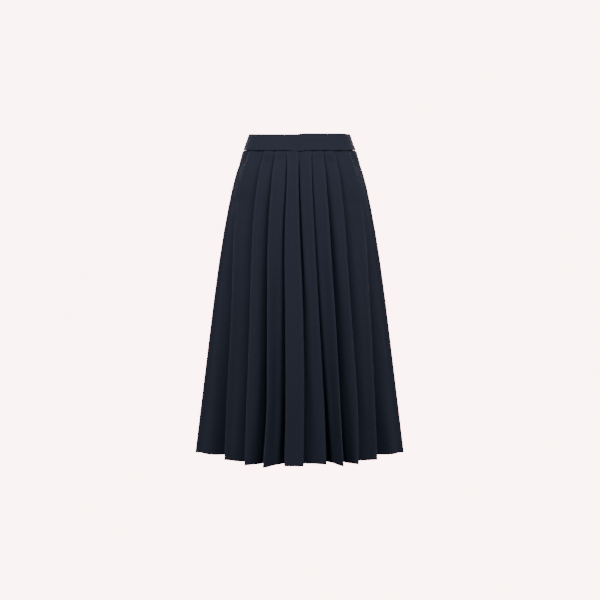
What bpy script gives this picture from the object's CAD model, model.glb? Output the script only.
"""Looks of the pleated wrap skirt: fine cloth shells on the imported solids, their finishes, light and camera.

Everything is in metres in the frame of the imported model: +Z up, the front faces -Y and the origin is the
centre of the waistband. A bearing goes round the body in degrees from the centre front (0) through +X (90) to
the centre back (180). A reach of 1 lies on the body's oval at that height.
"""

from __future__ import annotations

import logging
import math
from dataclasses import asdict, dataclass, field, replace
from enum import Enum

import bmesh
import bpy
import numpy as np
from mathutils import Matrix, Vector

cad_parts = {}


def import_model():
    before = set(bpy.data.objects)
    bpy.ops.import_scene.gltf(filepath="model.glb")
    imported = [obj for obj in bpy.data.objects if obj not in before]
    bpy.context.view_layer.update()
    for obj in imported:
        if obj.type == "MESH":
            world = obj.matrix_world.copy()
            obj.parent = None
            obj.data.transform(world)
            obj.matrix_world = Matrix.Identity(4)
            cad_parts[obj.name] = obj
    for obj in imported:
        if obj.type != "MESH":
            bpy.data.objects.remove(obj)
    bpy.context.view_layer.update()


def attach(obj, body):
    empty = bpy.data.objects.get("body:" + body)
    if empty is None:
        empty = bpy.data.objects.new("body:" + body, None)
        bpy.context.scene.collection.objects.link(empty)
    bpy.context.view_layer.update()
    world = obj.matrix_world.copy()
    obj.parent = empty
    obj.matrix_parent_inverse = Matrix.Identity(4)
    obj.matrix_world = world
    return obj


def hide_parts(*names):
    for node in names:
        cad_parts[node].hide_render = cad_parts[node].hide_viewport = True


LOG = logging.getLogger("skirt")
BODY = "root"

Colour = tuple[float, float, float]
Point = tuple[float, float, float]
Span = tuple[float, float]
Settings = dict[str, object]
Inputs = dict[int | str, object]

PLAN_MIRROR = np.array((-1.0, 1.0))
TINY = 1e-9


class Side(Enum):
    """Which side of the centre front a fold lies on."""

    RIGHT = 1.0
    LEFT = -1.0


class Panel(Enum):
    """The three pleated panels, by the name of the solid that each replaces."""

    FRONT = "front_panel"
    BACK_OVER = "back_over_panel"
    BACK_UNDER = "back_under_panel"


@dataclass(frozen=True)
class Fold:
    """One knife pleat of the front.

    Bearings place its edge at the form's fold heights. At the hem, reaches say how far out the edge and the
    cloth under it stand, step is how many degrees farther round that cloth comes out, and belly is how far
    the panel that ends in this fold rounds out. The gully is the dip right under the edge, with its width.
    A late fold parts slowly at first, and a steep fold stands out early. Lengths are in metres.
    """

    side: Side
    bearings: tuple[float, ...]
    edge_reach: float
    step: float
    under_reach: float
    belly: float = 0.0
    gully: float = 0.008
    gully_width: float = 0.006
    late: float = 1.0
    steep: float = 1.0
    faint_above: float = 0.0


@dataclass(frozen=True)
class Station:
    """Where one fold lies at one height, with the shapes of the cloth beside it there.

    The hug is how far the cloth beside a faint fold rises towards its edge.
    """

    edge: float
    edge_reach: float
    under: float
    under_reach: float
    belly: float
    gully: float
    gully_width: float
    outward: np.ndarray
    hug: float = 0.0


@dataclass(frozen=True)
class Section:
    """The oval's half width to the cloth's outer face at one height."""

    z: float
    half_width: float


def blend(first: float, second: float, share: float) -> float:
    """Mix two values, the second by its share."""
    return first + (second - first) * share


def ramp(value: float, start: float, end: float) -> float:
    """Rise softly from 0 at the start to 1 at the end."""
    step = min(1.0, max(0.0, (value - start) / (end - start)))
    return step * step * (3.0 - 2.0 * step)


def unit(vector: np.ndarray) -> np.ndarray:
    """Give a plan vector at length 1."""
    return vector / np.linalg.norm(vector)


def flowing(place: float, places: tuple[float, ...], values: tuple[float, ...]) -> float:
    """Read a smooth curve through given values.

    Args:
        place: where to read it.
        places: where the values stand, rising.
        values: the values.

    Returns:
        The curve's value, held at both ends.
    """
    if place <= places[0]:
        return values[0]
    if place >= places[-1]:
        return values[-1]
    slopes = np.gradient(values, places)
    index = int(np.searchsorted(places, place)) - 1
    width = places[index + 1] - places[index]
    step = (place - places[index]) / width
    rest = 1.0 - step
    start = rest * rest * ((1.0 + 2.0 * step) * values[index] + step * width * slopes[index])
    end = step * step * ((1.0 + 2.0 * rest) * values[index + 1] - rest * width * slopes[index + 1])
    return float(start + end)


def circle(sides: int) -> list[Span]:
    """Give the corners of a round outline of radius 1."""
    turns = [math.tau * side / sides for side in range(sides)]
    return [(math.cos(turn), math.sin(turn)) for turn in turns]


def put(name: str, data: bpy.types.ID) -> bpy.types.Object:
    """Put a mesh, light or camera in the scene as an object at the origin."""
    piece = bpy.data.objects.new(name, data)
    bpy.context.collection.objects.link(piece)
    return piece


def put_mesh(name: str, mesh: bmesh.types.BMesh, *materials: bpy.types.Material) -> bpy.types.Object:
    """Put a mesh that is built in the scene.

    Args:
        name: the piece's name.
        mesh: its mesh, which is freed.
        materials: its materials, if it gets them here.

    Returns:
        The piece.
    """
    data = bpy.data.meshes.new(name)
    mesh.to_mesh(data)
    mesh.free()
    for material in materials:
        data.materials.append(material)
    return put(name, data)


def fill(mesh: bmesh.types.BMesh, line: list[bmesh.types.BMVert], beside: list[bmesh.types.BMVert],
         closed: bool = False) -> None:
    """Fill the strip between two lines of vertices with faces.

    Args:
        mesh: the mesh that they are in.
        line: one line.
        beside: the other, as long as the first.
        closed: whether both lines close into rings.
    """
    for index in range(len(line) if closed else len(line) - 1):
        after = (index + 1) % len(line)
        mesh.faces.new((line[index], line[after], beside[after], beside[index]))


def look(piece: bpy.types.Object, place: Point, aim: Point) -> None:
    """Stand a light or a camera at a place and turn it towards a point."""
    piece.location = place
    piece.rotation_euler = (Vector(aim) - Vector(place)).to_track_quat("-Z", "Y").to_euler()


def apply_modifiers(piece: bpy.types.Object) -> None:
    """Give a piece the mesh that its modifiers make, and drop them."""
    seen = piece.evaluated_get(bpy.context.evaluated_depsgraph_get())
    piece.data = bpy.data.meshes.new_from_object(seen)
    piece.modifiers.clear()


@dataclass(frozen=True)
class Wave:
    """A sine wave over two or three measures, with its size and how fast each of them turns it."""

    size: float
    first: float
    second: float = 1.0
    third: float = 0.0

    def at(self, first: float, second: float, third: float = 0.0) -> float:
        """Read the wave."""
        return self.size * math.sin(self.first * first + self.second * second + self.third * third)


class Oval:
    """The body's oval at one height, seen in plan."""

    def __init__(self, half_width: float, depth_ratio: float) -> None:
        """Measure the oval.

        Args:
            half_width: half of its width along X.
            depth_ratio: its depth as a share of its width.
        """
        self.half_width = half_width
        self.half_depth = half_width * depth_ratio
        self.bearings = np.linspace(0.0, 180.0, 361)
        turns = np.radians(self.bearings)
        points = np.column_stack((half_width * np.sin(turns), -self.half_depth * np.cos(turns)))
        steps = np.linalg.norm(np.diff(points, axis=0), axis=1)
        self.arcs = np.concatenate(([0.0], np.cumsum(steps)))
        self.half_round = float(self.arcs[-1])

    def at(self, bearing: float, reach: float = 1.0, lift: float = 0.0) -> np.ndarray:
        """Give a plan point.

        Args:
            bearing: its bearing in degrees.
            reach: its share of the oval's size.
            lift: its height off the oval.

        Returns:
            The point's x and y.
        """
        turn = math.radians(bearing)
        point = np.array((self.half_width * math.sin(turn), -self.half_depth * math.cos(turn)))
        return point * reach + self.outward(bearing) * lift

    def outward(self, bearing: float) -> np.ndarray:
        """Give the direction that points straight out of the oval at a bearing."""
        turn = math.radians(bearing)
        return unit(np.array((math.sin(turn) / self.half_width, -math.cos(turn) / self.half_depth)))

    def arc_at(self, bearing: float) -> float:
        """Measure round the oval from the centre front to a bearing."""
        return float(np.interp(bearing, self.bearings, self.arcs))

    def bearing_at(self, arc: float) -> float:
        """Find the bearing at a length round the oval, either way and past the centre back too.

        Args:
            arc: the length from the centre front.

        Returns:
            The bearing in degrees.
        """
        if arc < 0.0:
            return -self.bearing_at(-arc)
        if arc > self.half_round:
            return 360.0 - self.bearing_at(2.0 * self.half_round - arc)
        return float(np.interp(arc, self.arcs, self.bearings))


@dataclass(frozen=True)
class SkirtForm:
    """The cut and drape that the three panels share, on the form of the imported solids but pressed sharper.

    Lengths are in metres and turns in degrees. A waist size holds at the seam and a hem size at the hem, with
    a blend in between. A run is the stretch below the seam over which something opens. Sinks and reaches are
    shares of the oval's size.
    """

    seam_z: float = -0.0193
    hem_z: float = -0.7455
    stitched: float = 0.030
    waist_depth_ratio: float = 0.70
    hem_depth_ratio: float = 0.66
    ply: float = 0.0017
    pressed_ply: float = 0.0010
    cloth: float = 0.0012
    waist_underlay: float = 0.009
    hem_underlay: float = 0.014
    fold_room: float = 0.0018
    fold_lean: float = 0.05
    panel_limit: float = 0.46
    hidden_folds: int = 6
    hidden_reach: float = 0.03
    hidden_sink: float = 0.11
    hidden_turn: float = 2.4
    hidden_shift: float = 0.004
    hidden_belly: float = 0.006
    hidden_gully: float = 0.003
    gully_width: float = 0.006
    waist_gully: float = 0.6
    first_gape: float = 0.10
    first_run: Span = (0.006, 0.050)
    main_gape: float = 0.90
    main_run: Span = (0.012, 0.21)
    hem_close: float = 0.35
    parting: float = 0.5
    parting_run: Span = (0.008, 0.040)
    faint_span: float = 0.14
    faint_hug: float = 0.5
    pressed_run: float = 0.8
    slit: float = 0.0035
    slit_width: float = 0.0015
    slit_need: float = 3.0
    slit_close: float = 0.8
    stray: float = 0.14
    stray_phase: float = 1.7
    strays: tuple[Wave, ...] = (Wave(1.0, 21.0), Wave(0.6, 47.0, 2.0))
    waist_overlap: float = 0.012
    hem_overlap: float = 0.018
    waist_underlap: float = 0.110
    hem_underlap: float = 0.170
    waist_entry: float = 0.0245
    hem_entry: float = 0.035
    waist_landing: float = 0.0150
    hem_landing: float = 0.024
    underlap_steps: int = 7
    waist_drop: float = 0.0022
    underlap_drop: float = 0.0038
    slack_drop: float = 0.009
    slack_run: Span = (0.03, 0.20)
    near_sink: float = 0.07
    far_sink: float = 0.27
    sink_arc: float = 0.070
    fold_heights: tuple[float, ...] = (
        -0.0193, -0.050, -0.110, -0.155, -0.215, -0.290, -0.378, -0.475, -0.600, -0.7455,
    )
    sections: tuple[Section, ...] = (
        Section(-0.0193, 0.1300), Section(-0.0210, 0.1318), Section(-0.0228, 0.1344), Section(-0.034, 0.1377),
        Section(-0.050, 0.1439), Section(-0.075, 0.1524), Section(-0.110, 0.1614), Section(-0.155, 0.1708),
        Section(-0.215, 0.1821), Section(-0.290, 0.1942), Section(-0.378, 0.2064), Section(-0.475, 0.2187),
        Section(-0.600, 0.2343), Section(-0.7455, 0.2524),
    )
    folds: tuple[Fold, ...] = (
        Fold(Side.RIGHT, (-1.0, -1.1, -1.0, -0.6, 0.0, 0.9, 1.8, 2.3, 2.3, 1.8), 1.045, 1.4, 0.905,
             gully=0.0045, gully_width=0.012),
        Fold(Side.RIGHT, (12.0, 11.0, 10.4, 10.6, 11.0, 11.6, 12.35, 13.3, 14.4, 14.9), 0.95, 3.5, 0.81,
             belly=-0.003, gully=0.003, gully_width=0.007, late=3.2, steep=1.2),
        Fold(Side.RIGHT, (24.7, 23.8, 22.2, 21.9, 21.5, 21.2, 21.2, 21.2, 21.0, 20.9), 1.123, 5.5, 0.95,
             belly=-0.003, gully=0.021, gully_width=0.012, steep=0.6),
        Fold(Side.RIGHT, (37.5, 37.8, 36.6, 36.1, 35.1, 34.2, 33.6, 33.4, 32.9, 30.8), 1.063, 6.6, 0.95,
             belly=-0.002, gully=0.022, gully_width=0.020, steep=0.75),
        Fold(Side.RIGHT, (61.2, 62.7, 62.7, 62.2, 60.2, 57.7, 55.7, 54.4, 52.4, 50.5), 0.9415, 18.6, 0.855,
             gully=0.028, gully_width=0.034, late=0.85, steep=0.8, faint_above=-0.24),
        Fold(Side.LEFT, (13.0, 11.6, 10.8, 10.9, 10.7, 10.1, 9.1, 8.3, 7.6, 7.6), 1.045, 1.5, 0.905,
             gully=0.005, gully_width=0.006, late=1.5),
        Fold(Side.LEFT, (25.4, 24.8, 23.2, 22.7, 21.7, 20.3, 18.7, 17.3, 15.9, 16.2), 1.19, 4.6, 1.02,
             belly=-0.004, gully=0.020, gully_width=0.012, steep=0.6),
        Fold(Side.LEFT, (38.4, 38.9, 38.0, 37.3, 35.7, 33.7, 31.8, 30.3, 28.8, 27.2), 1.105, 5.6, 0.98,
             belly=-0.001, gully=0.023, gully_width=0.020, steep=0.75),
        Fold(Side.LEFT, (63.0, 64.0, 64.2, 63.6, 60.7, 56.7, 53.6, 52.2, 50.9, 49.1), 0.93, 18.7, 0.835,
             gully=0.028, gully_width=0.036, late=0.85, steep=0.8, faint_above=-0.235),
        *(Fold(side, (80.0, 82.0, 84.0, 85.0, 85.0, 85.0, 85.0, 85.0, 85.0, 85.0), 1.004, 5.0, 0.86,
               belly=0.008) for side in Side),
    )

    def share(self, z: float) -> float:
        """Say how far a pleat has opened at a height: 0 where it is stitched down and 1 at the hem."""
        stitch_end = self.seam_z - self.stitched
        return min(1.0, max(0.0, (stitch_end - z) / (stitch_end - self.hem_z)))

    def oval(self, z: float) -> Oval:
        """Give the oval that the lowest layer of the pleated cloth follows at a height.

        Args:
            z: the height.

        Returns:
            The oval.
        """
        heights = [-section.z for section in self.sections]
        widths = [section.half_width for section in self.sections]
        outer = float(np.interp(-z, heights, widths))
        ratio = blend(self.waist_depth_ratio, self.hem_depth_ratio, self.share(z))
        return Oval(outer - 2.0 * self.ply_at(z) - 0.5 * self.cloth, ratio)

    def stations(self, side: Side, z: float, oval: Oval) -> list[Station]:
        """List the folds of one side at a height.

        Args:
            side: the side of the centre front.
            z: the height.
            oval: the oval there.

        Returns:
            The folds from the centre front to the centre back.
        """
        share = self.share(z)
        heights = tuple(-height for height in self.fold_heights)
        found = []
        for index, fold in enumerate(fold for fold in self.folds if fold.side is side):
            edge = flowing(-z, heights, fold.bearings) + self.waver(side, index, z)
            out = share ** fold.steep
            faint = 0.0
            if fold.faint_above:
                faint = ramp(z, fold.faint_above - self.faint_span, fold.faint_above + self.faint_span)
            parting = self.parting * ramp(self.seam_z - z, *self.parting_run) * (1.0 - faint)
            under = edge + fold.step * share ** fold.late + parting
            found.append(Station(
                edge,
                blend(1.0, fold.edge_reach, out),
                under,
                blend(1.0, fold.under_reach, out),
                fold.belly * share,
                fold.gully * self.gape(z) * (1.0 - faint),
                fold.gully_width * blend(self.waist_gully, 1.0, share),
                oval.outward(under),
                self.faint_hug * self.ply_at(z) * faint,
            ))
        side_arc = oval.arc_at(found[-1].edge)
        step = (oval.half_round - side_arc) / (self.hidden_folds + 1)
        for index in range(1, self.hidden_folds + 1):
            arc = side_arc + index * step
            wave = math.cos(self.hidden_turn * index)
            under = oval.bearing_at(arc + self.hidden_shift * share)
            found.append(Station(
                oval.bearing_at(arc),
                1.0 + self.hidden_reach * wave * share,
                under,
                1.0 - (self.hidden_sink - self.hidden_reach * wave) * share,
                self.hidden_belly * wave * share,
                self.hidden_gully * self.gape(z),
                self.gully_width,
                oval.outward(under),
            ))
        return found

    def ply_at(self, z: float) -> float:
        """Give the spacing of the layers, which the waist seam presses together."""
        return blend(self.pressed_ply, self.ply, ramp(self.seam_z - z, 0.0, self.pressed_run * self.stitched))

    def slit_at(self, gully: float, share: float) -> float:
        """Give the depth of the narrow slit beside a fold's edge, which closes as the pleat opens."""
        return self.slit * min(1.0, self.slit_need * gully / self.slit) * (1.0 - self.slit_close * share)

    def gape(self, z: float) -> float:
        """Say how far the gullies beside the folds have opened at a height."""
        drop = self.seam_z - z
        opened = self.first_gape * ramp(drop, *self.first_run) + self.main_gape * ramp(drop, *self.main_run)
        return opened * (1.0 - self.hem_close * self.share(z))

    def waver(self, side: Side, index: int, z: float) -> float:
        """Let a fold's edge stray a little from its straight line, as pressed cloth does, in degrees."""
        share = self.share(z)
        phase = self.stray_phase * index + side.value
        return self.stray * share * (1.0 - share) * sum(wave.at(z, phase) for wave in self.strays)

    def turn(self, arriving: np.ndarray, leaving: np.ndarray, inward: np.ndarray) -> np.ndarray:
        """Give the short direction across a fold, between the ways that the cloth arrives and leaves."""
        return unit(unit(arriving) + unit(leaving) + self.fold_lean * inward)

    def pleat(self, before: np.ndarray, station: Station, after: np.ndarray, oval: Oval,
              z: float) -> np.ndarray:
        """Work out one knife pleat in plan.

        Args:
            before: the point that the visible panel comes from.
            station: where the fold lies.
            after: the point that the next panel goes to.
            oval: the oval at this height.
            z: the height.

        Returns:
            Six points: over the inner fold, the outer fold's two, the inner fold's two and the cloth below.
        """
        share = self.share(z)
        underlay = blend(self.waist_underlay, self.hem_underlay, share)
        inward = -oval.outward(station.edge)
        ply = self.ply_at(z)
        edge = oval.at(station.edge, station.edge_reach, 2.0 * ply)
        dip = station.gully + self.slit_at(station.gully, share)
        under = oval.at(station.under, station.under_reach, -dip)
        inner = under - unit(after - under) * underlay
        panel = edge - before
        over = edge - panel * min((underlay + self.fold_room) / np.linalg.norm(panel), self.panel_limit)
        clear = 2.0 * ply + float(np.dot(over - inner, inward))
        if clear > 0.0:
            over = over - inward * clear
        back = inner - edge
        edge_below = edge + self.turn(edge - over, back, inward) * ply
        inner_above = inner - self.turn(back, under - inner, inward) * ply
        return np.array((over, edge, edge_below, inner_above, inner, under))

    def plain_end(self, side: Side, oval: Oval, z: float, last_reach: float) -> list[np.ndarray]:
        """Give the plain cloth after the last fold, up to the free edge of the wrap.

        Args:
            side: the right side ends in the over panel's free edge, the left side in the underlap.
            oval: the oval at this height.
            z: the height.
            last_reach: how far out the cloth under the last fold stands.

        Returns:
            The plan points of the plain stretch.
        """
        share = self.share(z)
        if side is Side.RIGHT:
            overlap = blend(self.waist_overlap, self.hem_overlap, share)
            return [oval.at(oval.bearing_at(oval.half_round + arc)) for arc in (0.0, overlap)]
        entry = blend(self.waist_entry, self.hem_entry, share)
        landing = blend(self.waist_landing, self.hem_landing, share)
        underlap = blend(self.waist_underlap, self.hem_underlap, share)
        drop = blend(self.waist_drop, self.underlap_drop, min(1.0, (self.seam_z - z) / self.stitched))
        drop += self.slack_drop * ramp(self.seam_z - z, *self.slack_run)
        points = [oval.at(oval.bearing_at(oval.half_round - entry), last_reach)]
        for step in range(self.underlap_steps + 1):
            arc = blend(-landing, underlap, step / self.underlap_steps)
            sink = min(1.0, (arc + landing) / self.sink_arc)
            reach = 1.0 - share * blend(self.near_sink, self.far_sink, sink)
            points.append(oval.at(oval.bearing_at(oval.half_round + arc), reach, -drop))
        return points

    def side_pleats(self, side: Side, z: float) -> tuple[list[np.ndarray], list[Station], list[np.ndarray]]:
        """Follow the cloth of one side from the centre panel to the free edge.

        Args:
            side: the side of the centre front.
            z: the height.

        Returns:
            The pleats' points, their stations and the plain end.
        """
        oval = self.oval(z)
        top = 2.0 * self.ply_at(z)
        stations = self.stations(side, z, oval)
        end = self.plain_end(side, oval, z, stations[-1].under_reach)
        other_side = Side.LEFT if side is Side.RIGHT else Side.RIGHT
        other = self.stations(other_side, z, oval)[0]
        before = oval.at(other.edge, other.edge_reach, top) * PLAN_MIRROR
        pleats = []
        for index, station in enumerate(stations):
            if index + 1 < len(stations):
                follower = stations[index + 1]
                after = oval.at(follower.edge, follower.edge_reach, top)
            else:
                after = end[0]
            pleats.append(self.pleat(before, station, after, oval, z))
            before = pleats[-1][5]
        return pleats, stations, end


@dataclass(frozen=True)
class Knot:
    """A control point of a plan line, with how far its corner is cut and the points that round it."""

    point: np.ndarray
    cut: float = 1.0
    steps: int = 1
    crease: float = 0.0


@dataclass
class PlanLine:
    """The middle of the cloth at one height, with how strongly each point is pressed into a fold."""

    points: np.ndarray
    crease: np.ndarray
    longest_mitre: float = 1.6
    least_cosine: float = 0.2
    full_fold: float = 0.9

    @classmethod
    def through(cls, knots: list[Knot]) -> PlanLine:
        """Round a run of knots into a line with a fixed count of points.

        Args:
            knots: the control points in order.

        Returns:
            The rounded line.
        """
        points = [knots[0].point]
        crease = [knots[0].crease]
        for before, knot, after in zip(knots, knots[1:], knots[2:]):
            back = before.point - knot.point
            forth = after.point - knot.point
            back_length = np.linalg.norm(back)
            forth_length = np.linalg.norm(forth)
            cut = min(knot.cut, 0.5 * back_length, 0.5 * forth_length)
            start = back * (cut / back_length)
            end = forth * (cut / forth_length)
            shares = [0.5] if knot.steps == 1 else np.linspace(0.0, 1.0, knot.steps)
            for share in shares:
                points.append(knot.point + start * (1.0 - share) ** 2 + end * share ** 2)
                crease.append(knot.crease)
        points.append(knots[-1].point)
        crease.append(knots[-1].crease)
        return cls(np.array(points), np.array(crease))

    def lengths(self) -> np.ndarray:
        """Measure from the line's start to each of its points."""
        steps = np.linalg.norm(np.diff(self.points, axis=0), axis=1)
        return np.concatenate(([0.0], np.cumsum(steps)))

    def walls(self, outer: float, inner: float) -> tuple[np.ndarray, np.ndarray]:
        """Offset the line to both faces of the cloth, less in a fold that is too tight for both.

        Args:
            outer: how far the outer face stands from the middle.
            inner: how far the inner face does.

        Returns:
            The outer face's points and the inner face's.
        """
        steps = np.diff(self.points, axis=0)
        widths = np.linalg.norm(steps, axis=1)
        steps = steps / np.maximum(widths, TINY)[:, None]
        arriving = np.vstack((steps[:1], steps))
        leaving = np.vstack((steps, steps[-1:]))
        along = arriving + leaving
        along = along / np.linalg.norm(along, axis=1)[:, None]
        across = np.column_stack((along[:, 1], -along[:, 0]))
        straight = np.column_stack((arriving[:, 1], -arriving[:, 0]))
        cosine = np.sum(across * straight, axis=1)
        mitre = np.minimum(self.longest_mitre, 1.0 / np.maximum(self.least_cosine, cosine))
        shift = across * mitre[:, None]
        bend = arriving[:, 1] * leaving[:, 0] - arriving[:, 0] * leaving[:, 1]
        bend = bend / (2.0 * cosine ** 2 + TINY)
        walls = []
        for offset, way in ((outer, 1.0), (inner, -1.0)):
            tight = np.maximum(0.0, way * bend)
            room = self.full_fold * widths / np.maximum(tight[:-1] + tight[1:], TINY)
            room = np.append(room, np.inf)
            held = np.minimum(offset, np.minimum(room, np.roll(room, 1)))
            walls.append(self.points + way * shift * held[:, None])
        return walls[0], walls[1]


@dataclass(frozen=True)
class Ripple:
    """A soft ridge or trough that runs down one panel.

    Places are shares of the panel's width, from the cloth's deep end to its fold edge. Width and height are
    in metres, and a trough's height is negative. It fades out over a share of its run at each end.
    """

    side: Side
    panel: int
    top: float
    bottom: float
    start: float
    end: float
    width: float
    height: float
    fade_in: float = 0.3
    fade_out: float = 0.35

    def rise(self, place: float, length: float, z: float) -> float:
        """Say how far this ripple lifts the cloth.

        Args:
            place: the share of the panel's width.
            length: the panel's width at this height.
            z: the height.

        Returns:
            The lift off the panel.
        """
        if not self.bottom < z < self.top:
            return 0.0
        run = (self.top - z) / (self.top - self.bottom)
        centre = blend(self.start, self.end, run)
        fade = ramp(run, 0.0, self.fade_in) * ramp(1.0 - run, 0.0, self.fade_out)
        return self.height * fade * math.exp(-((place - centre) * length / self.width) ** 2)


@dataclass
class PleatedCloth:
    """Runs the cloth of the three panels in fine plan lines.

    Knots crowd towards each panel's deep end. The cloth sways least at the stitched top and at a panel's held
    edges.
    """

    form: SkirtForm = field(default_factory=SkirtForm)
    panel_knots: int = 9
    crowding: float = 1.45
    back_knots: int = 2
    soft_cut: float = 0.03
    fold_cut: float = 0.0010
    fold_steps: int = 3
    inner_steps: int = 2
    back_crease: float = 0.6
    held_edge: float = 0.25
    sway: float = 0.0009
    least_sway: float = 0.1
    sway_growth: float = 1.5
    panel_phase: float = 2.3
    side_phase: float = 1.1
    sways: tuple[Wave, ...] = (Wave(1.0, 9.0, 1.0, 2.0), Wave(0.6, 23.0, -1.7, 3.0))
    ripples: tuple[Ripple, ...] = (
        Ripple(Side.LEFT, 3, 0.02, -0.235, 0.40, 0.62, 0.0050, -0.0007),
        Ripple(Side.RIGHT, 4, 0.02, -0.235, 0.40, 0.62, 0.0050, -0.0007),
        Ripple(Side.LEFT, 1, -0.46, -0.74, 0.70, 0.80, 0.0060, -0.0016),
        Ripple(Side.RIGHT, 2, -0.50, -0.73, 0.76, 0.80, 0.0050, -0.0013),
        Ripple(Side.LEFT, 4, -0.31, -0.62, 0.55, 0.42, 0.0090, -0.0014),
        Ripple(Side.RIGHT, 5, -0.36, -0.71, 0.48, 0.60, 0.0100, -0.0013),
        Ripple(Side.LEFT, 5, -0.12, -0.44, 0.50, 0.38, 0.0080, 0.0011),
        Ripple(Side.LEFT, 7, -0.29, -0.66, 0.42, 0.60, 0.0100, -0.0017),
        Ripple(Side.LEFT, 8, -0.47, -0.80, 0.62, 0.50, 0.0080, 0.0014),
        Ripple(Side.LEFT, 10, -0.09, -0.34, 0.45, 0.55, 0.0090, -0.0010),
        Ripple(Side.RIGHT, 6, -0.20, -0.53, 0.58, 0.44, 0.0090, -0.0015),
        Ripple(Side.RIGHT, 8, -0.38, -0.79, 0.40, 0.52, 0.0110, 0.0016),
        Ripple(Side.RIGHT, 9, -0.11, -0.39, 0.52, 0.40, 0.0080, -0.0012),
        Ripple(Side.RIGHT, 11, -0.33, -0.68, 0.50, 0.62, 0.0100, -0.0014),
    )
    seam_fold: dict[Side, int] = field(default_factory=lambda: {Side.RIGHT: 5, Side.LEFT: 4})
    seam_gap: float = 0.0003

    def lift(self, side: Side, panel: int, place: float, length: float, belly: float, z: float) -> float:
        """Say how far a panel's cloth stands off the flat between its two folds.

        Args:
            side: the side of the centre front.
            panel: the number of the fold that the panel ends in.
            place: the share of its width, from its deep end to its fold edge.
            length: its width.
            belly: how far it rounds out.
            z: the height.

        Returns:
            The lift along the panel's outward direction.
        """
        share = self.form.share(z)
        free = ramp(place, 0.0, self.held_edge) * ramp(1.0 - place, 0.0, self.held_edge)
        total = belly * 4.0 * place * (1.0 - place)
        phase = self.panel_phase * panel + self.side_phase * side.value
        swing = sum(wave.at(z, phase, place) for wave in self.sways)
        total += self.sway * swing * free * min(1.0, self.sway_growth * share + self.least_sway)
        for ripple in self.ripples:
            if ripple.side is side and ripple.panel == panel:
                total += ripple.rise(place, length, z) * free
        return total

    def climb(self, beneath: Station, away: float, place: float, z: float) -> float:
        """Say how far a panel's cloth has climbed out of the gully under the fold before it.

        Args:
            beneath: that fold.
            away: the way from the panel's deep end.
            place: the same as a share of the panel's width.
            z: the height.

        Returns:
            The lift straight out from the body.
        """
        slit = self.form.slit_at(beneath.gully, self.form.share(z)) + beneath.hug
        total = beneath.gully * (1.0 - place) * (1.0 - math.exp(-away / beneath.gully_width))
        return total + slit * (1.0 - place) ** 2 * (1.0 - math.exp(-away / self.form.slit_width))

    def panel_run(self, side: Side, panel: int, start: np.ndarray, end: np.ndarray, belly: float,
                  beneath: Station, z: float) -> list[Knot]:
        """Lay the knots of the visible cloth between two folds.

        Args:
            side: the side of the centre front.
            panel: the number of the fold that the panel ends in.
            start: its deep end in plan.
            end: its other end.
            belly: how far it rounds out.
            beneath: the fold under which its deep end lies.
            z: the height.

        Returns:
            The knots from the deep end outwards.
        """
        reach = end - start
        length = float(np.linalg.norm(reach))
        outward = np.array((reach[1], -reach[0])) / length
        knots = []
        for index in range(1, self.panel_knots + 1):
            place = (index / (self.panel_knots + 1)) ** self.crowding
            off = outward * self.lift(side, panel, place, length, belly, z)
            off += beneath.outward * self.climb(beneath, place * length, place, z)
            knots.append(Knot(start + reach * place + off, self.soft_cut))
        return knots

    def pleat_run(self, pleat: np.ndarray) -> list[Knot]:
        """Lay the knots of one pleat's folds, from over the inner fold to the cloth below.

        Args:
            pleat: its six points in plan.

        Returns:
            The knots of its folds.
        """
        over, edge, edge_below, inner_above, inner, under = pleat
        knots = [Knot(over, self.soft_cut), Knot(0.5 * (over + edge), self.soft_cut)]
        knots += [Knot(edge, self.fold_cut, self.fold_steps, 1.0)]
        knots += [Knot(edge_below, self.fold_cut, self.fold_steps, self.back_crease)]
        for index in range(1, self.back_knots + 1):
            place = index / (self.back_knots + 1)
            knots.append(Knot(edge_below + (inner_above - edge_below) * place, self.soft_cut))
        knots += [Knot(inner_above, self.fold_cut, self.inner_steps)]
        knots += [Knot(inner, self.fold_cut, self.inner_steps)]
        knots += [Knot(0.5 * (inner + under), self.soft_cut), Knot(under, self.soft_cut)]
        return knots

    def side_run(self, side: Side, z: float, first: int, last: int | None) -> list[Knot]:
        """Lay the knots of a side's pleats.

        Args:
            side: the side of the centre front.
            z: the height.
            first: the first pleat that is laid, with the panel before it.
            last: the pleat in whose lowest layer the run stops, or None to go on to the free edge.

        Returns:
            The knots from the centre front outwards.
        """
        pleats, stations, end = self.form.side_pleats(side, z)
        knots: list[Knot] = []
        count = len(pleats) if last is None else last + 1
        for index in range(first, count):
            if index > 0:
                start = pleats[index - 1][5]
                knots += self.panel_run(side, index, start, pleats[index][0], stations[index].belly,
                                        stations[index - 1], z)
            folds = self.pleat_run(pleats[index])
            if index == last:
                seam, _ = self.seam_ends(pleats[index])
                folds = folds[:-2] + [Knot(seam)]
            knots += folds
        if last is None:
            knots += self.panel_run(side, count, pleats[-1][5], end[0], 0.0, stations[-1], z)
            knots += [Knot(point, self.soft_cut) for point in end]
        return knots

    def seam_ends(self, pleat: np.ndarray) -> tuple[np.ndarray, np.ndarray]:
        """Part the lowest layer of a pleat where two panels are sewn together, and give both ends.

        Args:
            pleat: its six points in plan.

        Returns:
            The end of the first panel's cloth and the start of the next.
        """
        inner, under = pleat[4], pleat[5]
        middle = 0.5 * (inner + under)
        half_gap = unit(under - inner) * 0.5 * self.seam_gap
        return middle - half_gap, middle + half_gap

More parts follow.
